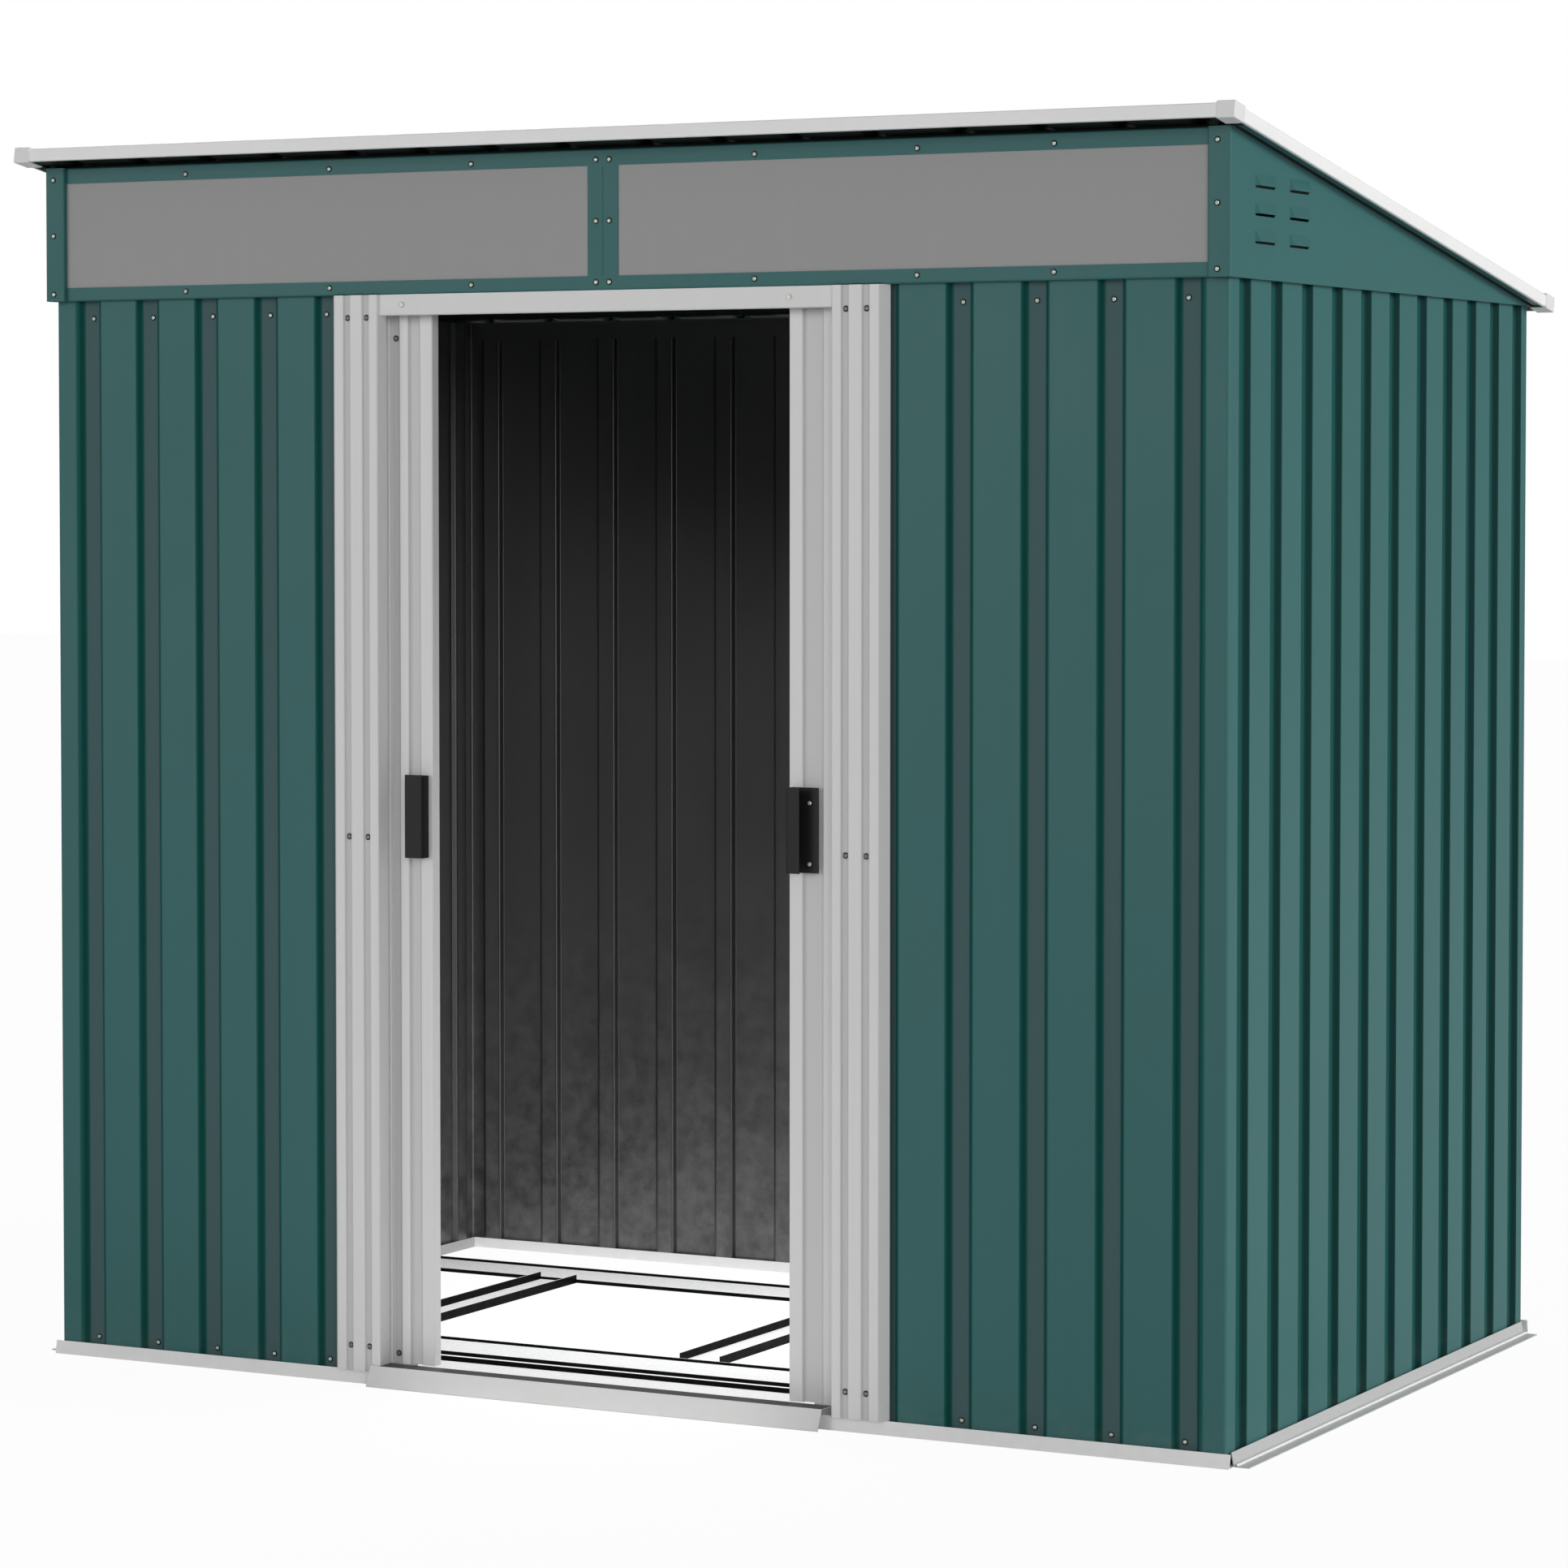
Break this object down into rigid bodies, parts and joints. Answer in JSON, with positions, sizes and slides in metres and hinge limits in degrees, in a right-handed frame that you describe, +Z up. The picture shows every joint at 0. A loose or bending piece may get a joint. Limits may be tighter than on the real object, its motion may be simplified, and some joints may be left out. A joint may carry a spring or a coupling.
{
  "type": "metal storage shed",
  "caption": "Pent-roof garden shed of ribbed steel sheets with sliding double doors, a glazed strip over the front, louvred gables and a channel floor frame.",
  "frame": {"origin": "on the ground under the middle of the roof's outline", "axes": "+Z up, +X along the front to the right as seen from outside, +Y from the doors to the back wall"},
  "size_m": [2.006, 1.3234, 1.8572],
  "materials": {
    "green_steel": "semi-gloss green enamel on thin steel sheet",
    "white_steel": "off-white enamel on thin steel sheet",
    "galvanised_steel": "galvanised steel",
    "window_sheet": "grey translucent sheet",
    "handle_plastic": "black moulded plastic",
    "glide_plastic": "white sliding plastic",
    "cap_plastic": "white moulded plastic"
  },
  "bodies": {
    "shed": {"back_panel_left": "green_steel", "back_panel_right": "green_steel", "base_rail_back": "white_steel", "base_rail_front": "white_steel", "base_rail_left": "white_steel", "base_rail_right": "white_steel", "door_header": "white_steel", "door_jamb_left": "white_steel", "door_jamb_right": "white_steel", "door_sill": "white_steel", "door_top_track": "galvanised_steel", "door_track": "galvanised_steel", "floor_cross_left": "galvanised_steel", "floor_cross_middle": "galvanised_steel", "floor_cross_right": "galvanised_steel", "floor_rail_front": "galvanised_steel", "floor_rail_rear": "galvanised_steel", "floor_rail_sill": "galvanised_steel", "front_panel_left": "green_steel", "front_panel_right": "green_steel", "gable_left": "green_steel", "gable_right": "green_steel", "left_panel_front": "green_steel", "left_panel_rear": "green_steel", "right_panel_front": "green_steel", "right_panel_rear": "green_steel", "roof_beam_front": "galvanised_steel", "roof_beam_middle": "galvanised_steel", "roof_beam_rear": "galvanised_steel", "roof_caps_back": "cap_plastic", "roof_caps_front": "cap_plastic", "roof_panel_1": "green_steel", "roof_panel_2": "green_steel", "roof_panel_3": "green_steel", "roof_panel_4": "green_steel", "roof_trim_back": "white_steel", "roof_trim_front": "white_steel", "roof_trim_left": "white_steel", "roof_trim_right": "white_steel", "strip_mullion": "green_steel", "strip_rail_bottom": "green_steel", "strip_rail_top": "green_steel", "strip_stile_left": "green_steel", "strip_stile_right": "green_steel", "top_rail_back": "galvanised_steel", "window_left": "window_sheet", "window_right": "window_sheet"},
    "left_door": {"door_glides_left": "glide_plastic", "door_handle_left": "handle_plastic", "door_leaf_left": "white_steel"},
    "right_door": {"door_glides_right": "glide_plastic", "door_handle_right": "handle_plastic", "door_leaf_right": "white_steel"}
  },
  "joints": [
    {"name": "left_door_slide", "type": "slide", "parent": "shed", "child": "left_door", "axis": [-1, 0, 0], "range_m": [-0.3, 0.02]},
    {"name": "right_door_slide", "type": "slide", "parent": "shed", "child": "right_door", "axis": [1, 0, 0], "range_m": [-0.2885, 0.0315]}
  ]
}
